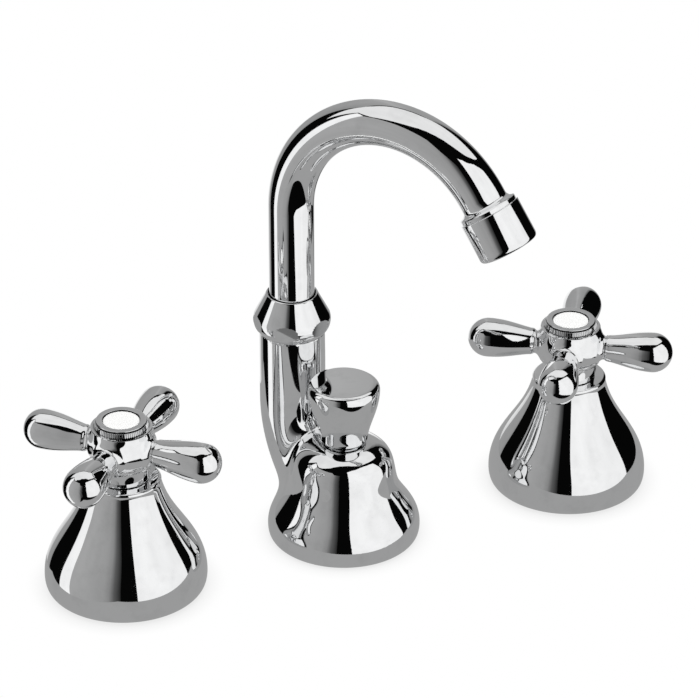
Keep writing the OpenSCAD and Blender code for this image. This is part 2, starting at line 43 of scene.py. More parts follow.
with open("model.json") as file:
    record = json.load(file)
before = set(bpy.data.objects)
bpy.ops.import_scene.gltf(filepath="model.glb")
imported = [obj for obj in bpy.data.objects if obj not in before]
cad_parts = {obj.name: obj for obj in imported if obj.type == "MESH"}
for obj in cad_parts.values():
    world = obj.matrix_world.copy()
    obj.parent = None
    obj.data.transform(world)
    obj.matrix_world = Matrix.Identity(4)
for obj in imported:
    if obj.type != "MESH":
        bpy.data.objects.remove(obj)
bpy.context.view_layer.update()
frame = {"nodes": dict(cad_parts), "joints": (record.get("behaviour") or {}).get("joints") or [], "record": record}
MM = 0.001
SIDES = ("left", "right")

# Where the levers of each cross handle point at rest, in degrees
HANDLE_TURNS = {"left": -47, "right": -35.5}
# Span of a cross handle from its axis, and the fillets of hub and lever and of bell and riser, in mm
HANDLE_SPAN = 43
LEVER_FILLET = 5.5
RISER_FILLET = 9.0
# Mesh size of a cross handle, finer than the other casting for its small fillets
HANDLE_GRAIN = 0.4 * MM
# Spout bell: radius, foot and top, in mm
SPOUT_BELL_RADIUS, SPOUT_FOOT, SPOUT_TOP = 30.3, 0.4, 41.7
# Riser: radius, top, height and radius of its lean towards the bell, and its reach into the bell, in mm,
# and the angle of the lean
RISER_RADIUS, RISER_TOP, LEAN_HEIGHT, LEAN_RADIUS, RISER_REACH = 13.05, 79.5, 49.0, 45.0, 9
LEAN_ANGLE = math.radians(42)
# Wrench flats of the collar nut: number, distance from its axis in mm, and where the first one looks
NUT_FLATS, FLAT_DISTANCE, FLAT_TURN = 6, 14.6, -3.3
# Arch of the spout: height where the tube starts inside the nut, where the bend starts, its radius, its
# angle and the way it looks at rest
TUBE_FOOT, ARCH_START, ARCH_RADIUS = 88 * MM, 134 * MM, 46.5 * MM
ARCH_ANGLE, ARCH_WAY = math.radians(146), math.radians(-56)
# Flare at the tube's end: length of each step in mm and how much it widens the tube
FLARE = ((1.9, 1.0), (0.5, 1.015), (0.4, 1.045), (0.35, 1.065), (0.3, 1.06), (0.3, 1.04), (0.3, 1.02),
         (1.45, 1.0))
# Camera: azimuth, elevation, distance from what it looks at, and focal length on its 36 mm sensor
CAMERA_AZIMUTH, CAMERA_ELEVATION, CAMERA_DISTANCE = math.radians(-24.31), math.radians(29.27), 1.545
CAMERA_AIM = (0.01764, 0.03355, 0.0618)
CAMERA_LENS, CAMERA_SENSOR = 198.4, 36
# Depth in metres of the slow swell left by the polish of each chromed surface
SWELL = {"Bell chrome": 0.00003, "Handle chrome": 0.00001, "Tube chrome": 0.00001, "Nut chrome": 0.0,
         "Knob chrome": 0.0, "Ring chrome": 0.0}
# Height of an index insert's seat over the foot of its ring, in mm
INSERT_SEAT = 1.2
# Overhead lamp: place, size and power
LAMP_PLACE, LAMP_SIZE, LAMP_POWER = (0.02, 0.03, 1.1), 1.0, 11
FLOOR_SIZE = 8


def centre_of(node):
    """Middle of a CAD node's box."""
    low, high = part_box(node)
    return (Vector(low) + Vector(high)) / 2


def direction(azimuth, elevation):
    """Unit vector of an azimuth, measured from the front towards +X, and an elevation."""
    flat = math.cos(elevation)
    return Vector((math.sin(azimuth) * flat, -math.cos(azimuth) * flat, math.sin(elevation)))


def joint(name):
    """The CAD joint of that name."""
    for entry in frame["joints"]:
        if entry["name"] == name:
            return entry
    raise RuntimeError(f"the frame has no joint {name}")


# ---------------------------------------------------------------- settings


class MixerSizes(bpy.types.PropertyGroup):
    """Sizes of the visible pieces."""

    bell_foot: bpy.props.FloatProperty(
        name="Bell foot", description="Rounding under the foot of the valve bells",
        default=2.6 * MM, min=0.5 * MM, max=5 * MM, unit="LENGTH")
    knurl_depth: bpy.props.FloatProperty(
        name="Knurl depth", description="Depth of the grooves round an index ring",
        default=0.35 * MM, min=0.1 * MM, max=0.6 * MM, unit="LENGTH")
    tube_radius: bpy.props.FloatProperty(
        name="Tube radius", description="Outer radius of the spout tube",
        default=9 * MM, min=7 * MM, max=11 * MM, unit="LENGTH")
    lever_neck: bpy.props.FloatProperty(
        name="Lever neck", description="Radius of a lever where it leaves the hub",
        default=4.5 * MM, min=3 * MM, max=6 * MM, unit="LENGTH")
    lever_bulb: bpy.props.FloatProperty(
        name="Lever bulb", description="Radius of a lever's round end",
        default=8 * MM, min=5 * MM, max=9 * MM, unit="LENGTH")
    knurl_teeth: bpy.props.IntProperty(
        name="Knurl teeth", description="Number of teeth round an index ring",
        default=80, min=36, max=160)
    casting_grain: bpy.props.FloatProperty(
        name="Casting mesh", description="Mesh size of the cast pieces",
        default=0.5 * MM, min=0.3 * MM, max=2 * MM, unit="LENGTH")


class MixerColours(bpy.types.PropertyGroup):
    """Colours of the finishes and the studio."""

    chrome: bpy.props.FloatVectorProperty(
        name="Chrome", description="Colour of the chrome plating",
        default=(0.86, 0.865, 0.87), size=3, min=0, max=1, subtype="COLOR")
    enamel: bpy.props.FloatVectorProperty(
        name="Enamel", description="Colour of the index inserts",
        default=(0.93, 0.93, 0.92), size=3, min=0, max=1, subtype="COLOR")
    floor: bpy.props.FloatVectorProperty(
        name="Floor", description="Colour of the studio floor",
        default=(1.0, 1.0, 1.0), size=3, min=0, max=1, subtype="COLOR")


def sizes():
    """The sizes in use."""
    return bpy.context.scene.mixer_sizes


def colours():
    """The colours in use."""
    return bpy.context.scene.mixer_colours


# ---------------------------------------------------------------- outlines


class Outline:
    """An outline of a turned piece: radius and height in millimetres, drawn in lines and curves."""

    def __init__(self, radius, height):
        self.points = [(radius, height)]

    def line(self, radius, height):
        """A straight stretch to a point."""
        self.points.append((radius, height))
        return self

    def curve(self, leave, arrive, end, steps=16):
        """A cubic stretch with its two handles and its end."""
        start = self.points[-1]
        for i in range(1, steps + 1):
            t = i / steps
            weights = ((1 - t) ** 3, 3 * t * (1 - t) ** 2, 3 * t * t * (1 - t), t ** 3)
            self.points.append(tuple(
                sum(w * p[k] for w, p in zip(weights, (start, leave, arrive, end))) for k in (0, 1)))
        return self

    def arc(self, centre, radius, start, end, steps=10):
        """A round stretch about a centre, between two angles in degrees."""
        for i in range(steps + 1):
            angle = math.radians(start + (end - start) * i / steps)
            point = (centre[0] + radius * math.cos(angle), centre[1] + radius * math.sin(angle))
            if math.dist(point, self.points[-1]) > 1e-4:
                self.points.append(point)
        return self


def deselect_all():
    """Leaves nothing selected."""
    if bpy.context.object and bpy.context.object.mode != "OBJECT":
        bpy.ops.object.mode_set(mode="OBJECT")
    bpy.ops.object.select_all(action="DESELECT")


def select_only(piece):
    """Leaves one piece selected and active."""
    deselect_all()
    piece.select_set(True)
    bpy.context.view_layer.objects.active = piece


def apply_modifier(piece, kind, **settings):
    """Adds a modifier with its settings and applies it."""
    select_only(piece)
    bpy.ops.object.modifier_add(type=kind)
    modifier = piece.modifiers[-1]
    for name, value in settings.items():
        setattr(modifier, name, value)
    bpy.ops.object.modifier_apply(modifier=modifier.name)


def tidy_mesh(piece, sharp=32):
    """Merges doubles, turns the faces outwards and smooths all but the sharp edges."""
    select_only(piece)
    bpy.ops.object.mode_set(mode="EDIT")
    bpy.ops.mesh.select_all(action="SELECT")
    bpy.ops.mesh.remove_doubles(threshold=0.00001)
    bpy.ops.mesh.normals_make_consistent(inside=False)
    bpy.ops.object.mode_set(mode="OBJECT")
    bpy.ops.object.shade_smooth_by_angle(angle=math.radians(sharp))


def place(piece, matrix):
    """Moves a piece's mesh to its place, with the object left at the origin."""
    piece.matrix_world = matrix
    select_only(piece)
    bpy.ops.object.transform_apply(location=True, rotation=True, scale=True)


def turned(name, outline, closed=True, steps=144):
    """A turned piece about Z: the outline as a curve, spun by a Screw modifier."""
    deselect_all()
    bpy.ops.curve.primitive_bezier_curve_add(location=(0, 0, 0))
    piece = bpy.context.object
    piece.name = name
    piece.data.dimensions = "3D"
    piece.data.splines.clear()
    spline = piece.data.splines.new("POLY")
    spline.points.add(len(outline.points) - 1)
    for point, (radius, height) in zip(spline.points, outline.points):
        point.co = (radius * MM, 0, height * MM, 1)
    spline.use_cyclic_u = closed
    select_only(piece)
    bpy.ops.object.convert(target="MESH")
    piece = bpy.context.object
    apply_modifier(piece, "SCREW", angle=math.tau, steps=steps, render_steps=steps,
                   axis="Z", use_merge_vertices=True, merge_threshold=0.000005)
    tidy_mesh(piece)
    return piece


def finish_piece(piece, body, node, material):
    """Gives a piece its material and ties it to the frame."""
    piece.data.materials.clear()
    piece.data.materials.append(material)
    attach(piece, body)
    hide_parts(node)


# ---------------------------------------------------------------- castings


def revolved_field(outline, cell=0.1):
    """Signed distance from a solid of revolution: a function of radius and height, in millimetres."""
    loop = np.array(outline.points)
    low = np.array([0, loop[:, 1].min() - 14])
    high = loop.max(axis=0) + 14
    nr, nz = (np.ceil((high - low) / cell)).astype(int) + 1
    r, z = np.meshgrid(low[0] + cell * np.arange(nr), low[1] + cell * np.arange(nz), indexing="ij")
    best = np.full(r.shape, 1e9)
    inside = np.zeros(r.shape, bool)
    ends = np.roll(loop, -1, axis=0)
    for a, b in zip(loop, ends):
        d = b - a
        if a[0] > 1e-6 or b[0] > 1e-6:
            t = np.clip(((r - a[0]) * d[0] + (z - a[1]) * d[1]) / max(d @ d, 1e-12), 0, 1)
            best = np.minimum(best, (r - a[0] - t * d[0]) ** 2 + (z - a[1] - t * d[1]) ** 2)
        crosses = (a[1] > z) != (b[1] > z)
        if crosses.any():
            at = a[0] + (z - a[1]) / (d[1] if abs(d[1]) > 1e-12 else 1e-12) * d[0]
            inside ^= crosses & (r < at)
    table = np.where(inside, -1, 1) * np.sqrt(best)

    def field(radius, height):
        u = np.clip((radius - low[0]) / cell, 0, nr - 1.001)
        v = np.clip((height - low[1]) / cell, 0, nz - 1.001)
        i, k = u.astype(int), v.astype(int)
        fu, fv = u - i, v - k
        return ((table[i, k] * (1 - fu) + table[i + 1, k] * fu) * (1 - fv)
                + (table[i, k + 1] * (1 - fu) + table[i + 1, k + 1] * fu) * fv)

    return field


def blend(a, b, width):
    """Joins two fields with a fillet of about that width."""
    h = np.maximum(width - np.abs(a - b), 0) / width
    return np.minimum(a, b) - h ** 3 * width / 6


def cast(name, field, low, high, grain):
    """A smooth casting: the surface where a field is zero, with its points drawn onto it."""
    grain = grain / MM
    low, high = np.array(low, float), np.array(high, float)
    counts = np.ceil((high - low) / grain).astype(int) + 1
    axes = [low[k] + grain * np.arange(counts[k]) for k in range(3)]
    values = field(*np.meshgrid(*axes, indexing="ij")).astype(np.float32)
    grid = openvdb.FloatGrid(float(4 * grain))
    grid.copyFromArray(np.clip(values, -4 * grain, 4 * grain))
    points, quads = grid.convertToQuads(0.0)
    points = low + points.astype(float) * grain
    step = 0.02
    for _ in range(3):
        value = field(*points.T)
        slope = np.stack([
            (field(*(points + step * axis).T) - field(*(points - step * axis).T)) / (2 * step)
            for axis in np.eye(3)], axis=1)
        points -= (value / np.maximum((slope ** 2).sum(axis=1), 0.1))[:, None] * slope
    mesh = bpy.data.meshes.new(name)
    mesh.from_pydata((points * MM).tolist(), [], quads[:, ::-1].tolist())
    piece = bpy.data.objects.new(name, mesh)
    bpy.context.scene.collection.objects.link(piece)
    tidy_mesh(piece, sharp=50)
    return piece


# ---------------------------------------------------------------- finishes


def new_group(name, inputs, outputs):
    """An empty shader node group with named sockets."""
    group = bpy.data.node_groups.new(name, "ShaderNodeTree")
    for label, kind, value in inputs:
        socket = group.interface.new_socket(label, in_out="INPUT", socket_type=kind)
        if value is not None:
            socket.default_value = value
    for label, kind in outputs:
        group.interface.new_socket(label, in_out="OUTPUT", socket_type=kind)
    return group


def add_node(nodes, kind, **values):
    """A node with the default values of its inputs, spaces in their names written as underscores."""
    node = nodes.new(kind)
    for name, value in values.items():
        node.inputs[name.replace("_", " ")].default_value = value
    return node


def maths(nodes, links, kind, first, second=0.0):
    """A Math node fed by sockets or numbers."""
    node = nodes.new("ShaderNodeMath")
    node.operation = kind
    for socket, value in zip(node.inputs, (first, second)):
        if isinstance(value, (int, float)):
            socket.default_value = value
        else:
            links.new(value, socket)
    return node.outputs["Value"]


def mixed_colour(nodes, links, factor, first, second):
    """The result of a colour mix fed by sockets."""
    mix = nodes.new("ShaderNodeMix")
    mix.data_type = "RGBA"
    links.new(factor, mix.inputs["Factor"])
    for socket, value in ((mix.inputs[6], first), (mix.inputs[7], second)):
        if isinstance(value, tuple):
            socket.default_value = value
        else:
            links.new(value, socket)
    return mix.outputs[2]


def polish_group():
    """Hand polish on plating: faint smears and stains, fine scratches and a slow swell of the surface."""
    if "Polish" in bpy.data.node_groups:
        return bpy.data.node_groups["Polish"]
    group = new_group(
        "Polish",
        [("Colour", "NodeSocketColor", None), ("Stain", "NodeSocketColor", None),
         ("Smear Size", "NodeSocketFloat", 60.0), ("Lowest Roughness", "NodeSocketFloat", 0.012),
         ("Highest Roughness", "NodeSocketFloat", 0.075), ("Swell Size", "NodeSocketFloat", 90.0),
         ("Swell Depth", "NodeSocketFloat", 0.00002)],
        [("Colour", "NodeSocketColor"), ("Roughness", "NodeSocketFloat"), ("Normal", "NodeSocketVector")])
    nodes, links = group.nodes, group.links
    entry = nodes.new("NodeGroupInput")
    out = nodes.new("NodeGroupOutput")
    coords = nodes.new("ShaderNodeTexCoord")
    smear = add_node(nodes, "ShaderNodeTexNoise", Detail=7, Roughness=0.68)
    spread = add_node(nodes, "ShaderNodeMapRange", From_Min=0.42, From_Max=0.78)
    scratch = add_node(nodes, "ShaderNodeTexNoise", Scale=900, Detail=2, Roughness=0.5, Distortion=1.5)
    fine = add_node(nodes, "ShaderNodeMapRange", From_Min=0.6, From_Max=0.75, To_Max=0.02)
    stain = add_node(nodes, "ShaderNodeTexNoise", Scale=140, Detail=4, Roughness=0.6)
    patch = add_node(nodes, "ShaderNodeMapRange", From_Min=0.5, From_Max=0.72)
    swell = add_node(nodes, "ShaderNodeTexNoise", Detail=1)
    bump = add_node(nodes, "ShaderNodeBump", Strength=1.0)
    for texture in (smear, scratch, stain, swell):
        links.new(coords.outputs["Object"], texture.inputs["Vector"])
    links.new(entry.outputs["Smear Size"], smear.inputs["Scale"])
    links.new(entry.outputs["Swell Size"], swell.inputs["Scale"])
    links.new(smear.outputs["Fac"], spread.inputs["Value"])
    links.new(scratch.outputs["Fac"], fine.inputs["Value"])
    links.new(stain.outputs["Fac"], patch.inputs["Value"])
    links.new(entry.outputs["Lowest Roughness"], spread.inputs["To Min"])
    links.new(entry.outputs["Highest Roughness"], spread.inputs["To Max"])
    links.new(entry.outputs["Swell Depth"], bump.inputs["Distance"])
    links.new(swell.outputs["Fac"], bump.inputs["Height"])
    roughness = maths(nodes, links, "ADD", spread.outputs["Result"], fine.outputs["Result"])
    tone = mixed_colour(nodes, links, patch.outputs["Result"], entry.outputs["Colour"],
                        entry.outputs["Stain"])
    links.new(tone, out.inputs["Colour"])
    links.new(roughness, out.inputs["Roughness"])
    links.new(bump.outputs["Normal"], out.inputs["Normal"])
    return group


def wear_group():
    """Plain finishes: worn patches, grain or lathe rings in the surface, and roughness that follows them."""
    if "Wear" in bpy.data.node_groups:
        return bpy.data.node_groups["Wear"]
    group = new_group(
        "Wear",
        [("Colour", "NodeSocketColor", None), ("Worn Colour", "NodeSocketColor", None),
         ("Patch Size", "NodeSocketFloat", 120.0), ("Grain Size", "NodeSocketFloat", 1500.0),
         ("Ring Pitch", "NodeSocketFloat", 0.0004), ("Ring Share", "NodeSocketFloat", 0.0),
         ("Lowest Roughness", "NodeSocketFloat", 0.2), ("Highest Roughness", "NodeSocketFloat", 0.4),
         ("Depth", "NodeSocketFloat", 0.00001)],
        [("Colour", "NodeSocketColor"), ("Roughness", "NodeSocketFloat"), ("Normal", "NodeSocketVector")])
    nodes, links = group.nodes, group.links
    entry = nodes.new("NodeGroupInput")
    out = nodes.new("NodeGroupOutput")
    coords = nodes.new("ShaderNodeTexCoord")
    patches = add_node(nodes, "ShaderNodeTexNoise", Detail=6, Roughness=0.62, Distortion=0.3)
    worn = add_node(nodes, "ShaderNodeMapRange", From_Min=0.42, From_Max=0.68)
    grain = add_node(nodes, "ShaderNodeTexNoise", Detail=3, Roughness=0.6)
    links.new(coords.outputs["Object"], patches.inputs["Vector"])
    links.new(coords.outputs["Object"], grain.inputs["Vector"])
    links.new(entry.outputs["Patch Size"], patches.inputs["Scale"])
    links.new(entry.outputs["Grain Size"], grain.inputs["Scale"])
    links.new(patches.outputs["Fac"], worn.inputs["Value"])
    split = nodes.new("ShaderNodeSeparateXYZ")
    links.new(coords.outputs["Object"], split.inputs["Vector"])
    turns = maths(nodes, links, "DIVIDE", split.outputs["Z"], entry.outputs["Ring Pitch"])
    turns = maths(nodes, links, "MULTIPLY", turns, math.tau)
    turns = maths(nodes, links, "ADD", turns, patches.outputs["Fac"])
    rings = maths(nodes, links, "MULTIPLY", maths(nodes, links, "SINE", turns), entry.outputs["Ring Share"])
    height = maths(nodes, links, "ADD", grain.outputs["Fac"], rings)
    mean = maths(nodes, links, "MULTIPLY", maths(nodes, links, "ADD", worn.outputs["Result"],
                                                 grain.outputs["Fac"]), 0.6)
    roughness = nodes.new("ShaderNodeMapRange")
    links.new(mean, roughness.inputs["Value"])
    links.new(entry.outputs["Lowest Roughness"], roughness.inputs["To Min"])
    links.new(entry.outputs["Highest Roughness"], roughness.inputs["To Max"])
    bump = add_node(nodes, "ShaderNodeBump", Strength=1.0)
    links.new(entry.outputs["Depth"], bump.inputs["Distance"])
    links.new(height, bump.inputs["Height"])
    tone = mixed_colour(nodes, links, worn.outputs["Result"], entry.outputs["Colour"],
                        entry.outputs["Worn Colour"])
    links.new(tone, out.inputs["Colour"])
    links.new(roughness.outputs["Result"], out.inputs["Roughness"])
    links.new(bump.outputs["Normal"], out.inputs["Normal"])
    return group


def base_material(name, colour, metallic, group, **values):
    """A material whose Principled shader takes colour, roughness and normal from a shared group."""
    material = bpy.data.materials.new(name)
    material.use_nodes = True
    nodes, links = material.node_tree.nodes, material.node_tree.links
    shader = nodes["Principled BSDF"]
    shader.inputs["Metallic"].default_value = metallic
    finish = nodes.new("ShaderNodeGroup")
    finish.name = "Finish"
    finish.node_tree = group
    finish.inputs["Colour"].default_value = (*colour, 1)
    for label, value in values.items():
        finish.inputs[label.replace("_", " ")].default_value = value
    links.new(finish.outputs["Colour"], shader.inputs["Base Color"])
    links.new(finish.outputs["Roughness"], shader.inputs["Roughness"])
    links.new(finish.outputs["Normal"], shader.inputs["Normal"])
    material.diffuse_color = (*colour, 1)
    return material


def chrome(name):
    """Polished chrome plating."""
    if name in bpy.data.materials:
        return bpy.data.materials[name]
    bright = tuple(colours().chrome)
    stain = (*(0.93 * part for part in bright), 1)
    return base_material(name, bright, 1.0, polish_group(), Stain=stain, Swell_Depth=SWELL[name])


def knurled_chrome():
    """Chrome of the index rings, with painted shade: near black in the crevices and half dark in the knurl's
    grooves.
    """
    if "Ring chrome" in bpy.data.materials:
        return bpy.data.materials["Ring chrome"]
    material = chrome("Ring chrome")
    nodes, links = material.node_tree.nodes, material.node_tree.links
    groove = nodes.new("ShaderNodeAttribute")
    groove.attribute_name = "groove"
    # painted shade: the chrome's colour is mixed towards near black where the groove attribute marks grooves and
    # crevices
    dark = mixed_colour(nodes, links, groove.outputs["Fac"], nodes["Finish"].outputs["Colour"],
                        (0.02, 0.02, 0.022, 1))
    links.new(dark, nodes["Principled BSDF"].inputs["Base Color"])
    return material


def enamel():
    """White glossy index insert."""
    if "White enamel" in bpy.data.materials:
        return bpy.data.materials["White enamel"]
    white = tuple(colours().enamel)
    worn = (*(0.97 * part for part in white), 1)
    material = base_material("White enamel", white, 0.0, wear_group(), Worn_Colour=worn, Patch_Size=300.0,
                             Grain_Size=700.0, Lowest_Roughness=0.08, Highest_Roughness=0.2, Depth=0.000004)
    material.node_tree.nodes["Principled BSDF"].inputs["Coat Weight"].default_value = 0.4
    return material


# ---------------------------------------------------------------- pieces


def bell_outline():
    """Valve bell: rounded foot, full skirt, slim neck and a thin wall."""
    low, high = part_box("left_bell")
    r = (high[0] - low[0]) / 2 / MM
    foot, top = low[2] / MM, high[2] / MM
    outline = Outline(r - sizes().bell_foot / MM, foot)
    outline.curve((r - 1.0, foot), (r, foot + 1.6), (r, foot + 5.2), 10)
    outline.curve((r, foot + 20.5), (r - 13.3, foot + 27.6), (r - 17.2, top - 1.7), 36)
    outline.arc((r - 18.3, top - 1.3), 1.3, 10, 90, 6)
    outline.line(8.2, top).line(8.2, top - 1.6)
    outline.curve((r - 17, top - 4), (r - 15, foot + 28), (r - 3, foot + 12), 12)
    outline.line(r - 3.4, foot + 3).line(r - 3.8, foot)
    return outline


class MIXER_OT_bells(bpy.types.Operator):
    """Turns the two valve bells"""

    bl_idname = "mixer.bells"
    bl_label = "Valve Bells"

    def execute(self, context):
        for side in SIDES:
            bell = turned(f"{side}_valve_bell", bell_outline())
            at = centre_of(f"{side}_bell")
            place(bell, Matrix.Translation((at.x, at.y, 0)))
            finish_piece(bell, "body", f"{side}_bell", chrome("Bell chrome"))
        return {"FINISHED"}


def hub_outline():
    """Hub of a cross handle: skirt, bead, rounded drum and seat of the index ring."""
    outline = Outline(0, 48.8)
    outline.line(10.2, 48.8).line(10.4, 49.0).line(10.4, 54.9)
    outline.curve((11.3, 55.1), (11.3, 56.4), (10.9, 56.7), 6)
    outline.curve((11.6, 57.4), (12.3, 59.6), (12.3, 62.3), 10)
    outline.curve((12.3, 66), (11.9, 68.6), (11.7, 70.9), 10)
    outline.line(0, 70.9)
    return outline


def lever_outline():
    """One lever, root to tip along its axis."""
    reach = 33.4
    neck, bulb = sizes().lever_neck / MM, sizes().lever_bulb / MM
    outline = Outline(0, 6)
    outline.line(neck + 2.2, 6).line(neck + 1.6, 11.2)
    outline.curve((neck + 0.3, 12.2), (neck, 13), (neck, 13.9), 6)
    outline.curve((neck, 14.6), (neck + 0.75, 14.7), (neck + 0.85, 15.5), 5)
    outline.curve((neck + 1.4, 20.5), (bulb, 26), (bulb, reach), 18)
    outline.arc((0, reach), bulb, 0, 90, 14)
    return outline


class MIXER_OT_handles(bpy.types.Operator):
    """Casts the two cross handles: a hub and four levers in one piece"""

    bl_idname = "mixer.handles"
    bl_label = "Cross Handles"

    def execute(self, context):
        lever_height = joint("left_handle_turn")["pos_m"][2] / MM
        hub = revolved_field(hub_outline())
        lever = revolved_field(lever_outline())

        def cross(x, y, z):
            solid = hub(np.hypot(x, y), z)
            for along, across in ((x, y), (-x, y), (y, x), (-y, x)):
                solid = blend(solid, lever(np.hypot(across, z - lever_height), along), LEVER_FILLET)
            return solid

        for side in SIDES:
            handle = cast(f"{side}_cross_handle", cross, (-HANDLE_SPAN, -HANDLE_SPAN, 47),
                          (HANDLE_SPAN, HANDLE_SPAN, 73), HANDLE_GRAIN)
            at = Vector(joint(f"{side}_handle_turn")["pos_m"])
            turn = math.radians(HANDLE_TURNS[side])
            place(handle, Matrix.Translation((at.x, at.y, 0)) @ Matrix.Rotation(turn, 4, "Z"))
            finish_piece(handle, f"{side}_handle", f"{side}_handle", chrome("Handle chrome"))
        return {"FINISHED"}


def ring_outline(base, top):
    """Index ring: lip at its foot, knurled cone, plain cap and a bore for the insert."""
    outline = Outline(7.16, base - 2)
    outline.line(8.9, base - 2).line(8.9, base)
    outline.line(11.5, base - 0.3).line(11.85, base - 0.25).line(11.95, base - 0.1)
    outline.line(11.8, base + 0.04).line(11.2, base + 0.08).line(10.2, base + 0.1)
    outline.line(9.95, base + 0.14).line(10.2, base + 0.2).line(10.5, base + 0.26)
    outline.line(10.14, top - 0.86).line(10.02, top - 0.78).line(9.74, top - 0.76)
    outline.line(9.62, top - 0.7).line(9.68, top - 0.36).line(9.72, top - 0.2)
    outline.arc((9.52, top - 0.2), 0.2, 0, 90, 5)
    outline.line(8.6, top - 0.01).line(7.5, top - 0.04)
    outline.arc((7.5, top - 0.24), 0.2, 90, 170, 4)
    outline.line(7.16, top - 0.9)
    return outline


def on_knurl(radius, height, base, top):
    """Whether a point of an index ring lies on its knurled cone."""
    return 10.1 < radius < 10.52 and base + 0.23 < height < top - 0.82


def in_crevice(radius, height, base, top):
    """Whether a point of an index ring lies under its cap, under its knurl or beside its insert, where painted
    shade goes.
    """
    under_cap = 9.6 < radius < 9.8 and top - 0.8 < height < top - 0.3
    under_knurl = 9.9 < radius < 10.25 and base + 0.07 < height < base + 0.22
    return under_cap or under_knurl or radius < 7.35


def cut_knurl(ring, turns, base, top):
    """Sinks every second pair of a ring's lines into a groove and marks the grooves and crevices for painted
    shade.
    """
    shade = []
    for vertex in ring.data.vertices:
        radius = math.hypot(vertex.co.x, vertex.co.y) / MM
        height = vertex.co.z / MM
        turn = round(math.atan2(vertex.co.y, vertex.co.x) / math.tau * turns)
        valley = on_knurl(radius, height, base, top) and turn % 4 in (2, 3)
        if valley:
            vertex.co.xy *= 1 - sizes().knurl_depth / MM / radius
        # painted shade: full in the crevices, half in the knurl's grooves
        shade.append(1.0 if in_crevice(radius, height, base, top) else 0.5 if valley else 0.0)
    ring.data.attributes.new("groove", "FLOAT", "POINT").data.foreach_set("value", shade)


class MIXER_OT_index_rings(bpy.types.Operator):
    """Turns the index rings and cuts their knurls"""

    bl_idname = "mixer.index_rings"
    bl_label = "Index Rings"

    def execute(self, context):
        turns = 4 * sizes().knurl_teeth
        for side in SIDES:
            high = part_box(f"{side}_index_ring")[1]
            at = centre_of(f"{side}_index_ring")
            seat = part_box(f"{side}_index_disc")[0][2] / MM
            base, top = seat - INSERT_SEAT, high[2] / MM
            ring = turned(f"{side}_knurled_ring", ring_outline(base, top), steps=turns)
            cut_knurl(ring, turns, base, top)
            place(ring, Matrix.Translation((at.x, at.y, 0)))
            select_only(ring)
            bpy.ops.object.shade_smooth_by_angle(angle=math.radians(28))
            finish_piece(ring, f"{side}_handle", f"{side}_index_ring",
                         knurled_chrome())
        return {"FINISHED"}


class MIXER_OT_index_discs(bpy.types.Operator):
    """Presses the white index inserts"""

    bl_idname = "mixer.index_discs"
    bl_label = "Index Inserts"

    def execute(self, context):
        for side in SIDES:
            low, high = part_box(f"{side}_index_disc")
            at = centre_of(f"{side}_index_disc")
            base, top = low[2] / MM, high[2] / MM
            outline = Outline(0, base).line(7.0, base).line(7.08, base + 0.1).line(7.08, top - 0.25)
            outline.arc((6.83, top - 0.25), 0.25, 0, 90, 5)
            outline.curve((5, top + 0.1), (2, top + 0.12), (0, top + 0.12), 8)
            disc = turned(f"{side}_enamel_insert", outline, closed=False, steps=96)
            place(disc, Matrix.Translation((at.x, at.y, 0)))
            finish_piece(disc, f"{side}_handle", f"{side}_index_disc", enamel())
        return {"FINISHED"}


def spout_bell_outline():
    """Spout bell: flared foot, waist and round shoulder."""
    r, foot, top = SPOUT_BELL_RADIUS, SPOUT_FOOT, SPOUT_TOP
    outline = Outline(0, foot).line(r - 1.8, foot)
    outline.curve((r - 0.6, foot), (r, foot + 1.2), (r, foot + 4.0), 10)
    outline.curve((r, foot + 11.0), (r - 5.4, foot + 14.4), (r - 8.2, 21.5), 20)
    outline.curve((r - 10.2, 26.6), (r - 9.6, 32.6), (r - 12.4, 36.4), 20)
    outline.curve((r - 14.4, 39.0), (r - 17.6, 40.9), (9.5, top - 0.2), 16)
    outline.curve((9.0, top - 0.1), (8.6, top), (8.2, top), 4)
    outline.line(0, top)
    return outline


class MIXER_OT_spout_body(bpy.types.Operator):
    """Casts the spout body: the bell and the riser that grows out of its back"""

    bl_idname = "mixer.spout_body"
    bl_label = "Spout Body"

    def execute(self, context):
        axis = Vector(joint("spout_swivel")["pos_m"]) / MM
        back = math.hypot(axis.x, axis.y)
        way = (axis.x / back, axis.y / back)
        bell = revolved_field(spout_bell_outline())
        lean_cos, lean_sin = math.cos(LEAN_ANGLE), math.sin(LEAN_ANGLE)
        end = (back - LEAN_RADIUS * (1 - lean_cos), LEAN_HEIGHT - LEAN_RADIUS * lean_sin)

        def riser(x, y, z):
            out = x * way[0] + y * way[1]
            aside = x * way[1] - y * way[0]
            column = np.hypot(out - back, aside) - RISER_RADIUS
            du, dz = out - (back - LEAN_RADIUS), z - LEAN_HEIGHT
            bend = np.hypot(np.hypot(du, dz) - LEAN_RADIUS, aside) - RISER_RADIUS
            along = (end[0] - out) * lean_sin + (end[1] - z) * lean_cos
            off = (out - end[0]) * lean_cos - (z - end[1]) * lean_sin
            stub = np.hypot(off, aside) - RISER_RADIUS
            stub = np.maximum(stub, along - RISER_REACH)
            field = np.where(z > LEAN_HEIGHT, column, np.where(along > 0, stub, bend))
            return np.maximum(field, z - RISER_TOP)

        def body(x, y, z):
            solid = blend(bell(np.hypot(x, y), z), riser(x, y, z), RISER_FILLET)
            return np.maximum(solid, SPOUT_FOOT - z)

        piece = cast("spout_casting", body, (-33, -33, -1), (33, 45, 81), sizes().casting_grain)
        place(piece, Matrix.Identity(4))
        finish_piece(piece, "body", "spout_body", chrome("Bell chrome"))
        return {"FINISHED"}


